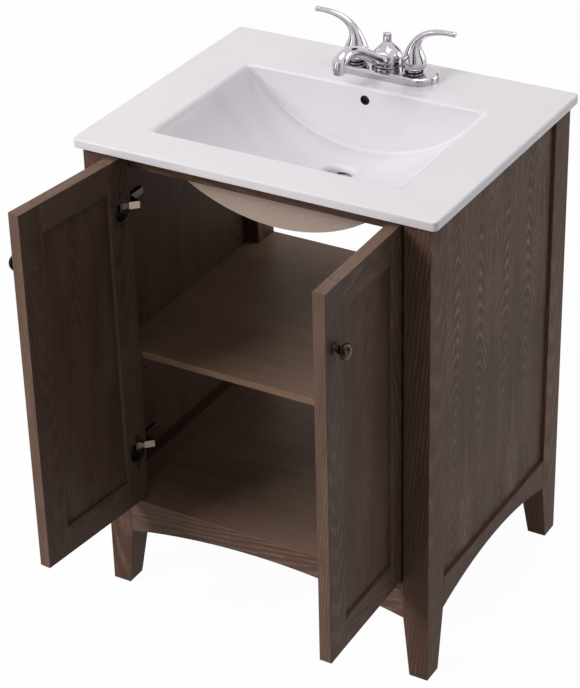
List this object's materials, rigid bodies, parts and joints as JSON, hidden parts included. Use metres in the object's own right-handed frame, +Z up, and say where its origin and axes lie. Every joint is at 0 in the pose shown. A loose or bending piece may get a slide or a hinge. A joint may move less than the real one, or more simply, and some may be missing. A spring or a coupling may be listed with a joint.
{
  "type": "bathroom vanity unit",
  "caption": "Free-standing dark oak bathroom vanity with framed inset doors, a loose shelf, arched rails, a one-piece ceramic basin top and a centre-set lever tap.",
  "frame": {"origin": "On the floor, under the middle of the unit's outline with its doors standing open as at rest.", "axes": "+X runs along the front towards the right-hand door, +Y from the front towards the wall, +Z up"},
  "size_m": [0.61, 0.7064, 0.8988],
  "materials": {
    "oak": "dark grey-brown stain, brushed grain, satin",
    "oak_inside": "dark stain, plain satin lacquer",
    "ceramic": "white glaze, bare clay colour underneath",
    "chrome": "polished",
    "nickel": "nickel plated",
    "brass": "as machined",
    "bronze": "dark bronze, satin"
  },
  "bodies": {
    "cabinet": {"post_front_left": "oak", "post_front_right": "oak", "post_rear_left": "oak", "post_rear_right": "oak", "side_panel_left": "oak", "side_panel_right": "oak", "side_rail_left": "oak", "side_rail_right": "oak", "front_bottom_rail": "oak", "front_top_rail": "oak", "rear_bottom_rail": "oak", "rear_top_rail": "oak", "floor_panel": "oak_inside", "shelf": "oak_inside", "shelf_pins": "nickel", "hinge_arm_left_lower": "nickel", "hinge_arm_left_upper": "nickel", "hinge_arm_right_lower": "nickel", "hinge_arm_right_upper": "nickel", "hinge_plate_left_lower": "nickel", "hinge_plate_left_upper": "nickel", "hinge_plate_right_lower": "nickel", "hinge_plate_right_upper": "nickel", "plate_screws": "nickel", "arm_screws": "nickel", "basin_top": "ceramic", "tap_base": "chrome", "spout": "chrome", "aerator": "nickel", "tap_shanks": "brass", "shank_nuts": "brass"},
    "door_left": {"door_left_hinge_stile": "oak", "door_left_free_stile": "oak", "door_left_top_rail": "oak", "door_left_bottom_rail": "oak", "door_left_panel": "oak", "knob_left": "bronze", "knob_screw_left": "nickel", "hinge_cup_left_lower": "nickel", "hinge_cup_left_upper": "nickel", "hinge_pins_left": "nickel", "cup_screws_left": "nickel"},
    "door_right": {"door_right_hinge_stile": "oak", "door_right_free_stile": "oak", "door_right_top_rail": "oak", "door_right_bottom_rail": "oak", "door_right_panel": "oak", "knob_right": "bronze", "knob_screw_right": "nickel", "hinge_cup_right_lower": "nickel", "hinge_cup_right_upper": "nickel", "hinge_pins_right": "nickel", "cup_screws_right": "nickel"},
    "hot": {"handle_hot": "chrome", "valve_stem_hot": "brass"},
    "cold": {"handle_cold": "chrome", "valve_stem_cold": "brass"},
    "rod": {"lift_rod": "chrome"}
  },
  "joints": [
    {"name": "door_left_hinge", "type": "hinge", "parent": "cabinet", "child": "door_left", "pos_m": [-0.2358, -0.11877, 0.48], "axis": [0, 0, -1], "range_deg": [-96, 12]},
    {"name": "door_right_hinge", "type": "hinge", "parent": "cabinet", "child": "door_right", "pos_m": [0.2358, -0.11877, 0.48], "axis": [0, 0, 1], "range_deg": [-91, 17]},
    {"name": "hot_lever", "type": "hinge", "parent": "cabinet", "child": "hot", "pos_m": [-0.051, 0.29023, 0.83], "axis": [0, 0, 1], "range_deg": [0, 90]},
    {"name": "cold_lever", "type": "hinge", "parent": "cabinet", "child": "cold", "pos_m": [0.051, 0.29023, 0.83], "axis": [0, 0, -1], "range_deg": [0, 90]},
    {"name": "lift_rod_slide", "type": "slide", "parent": "cabinet", "child": "rod", "axis": [0, 0, 1], "range_m": [0, 0.022]}
  ]
}
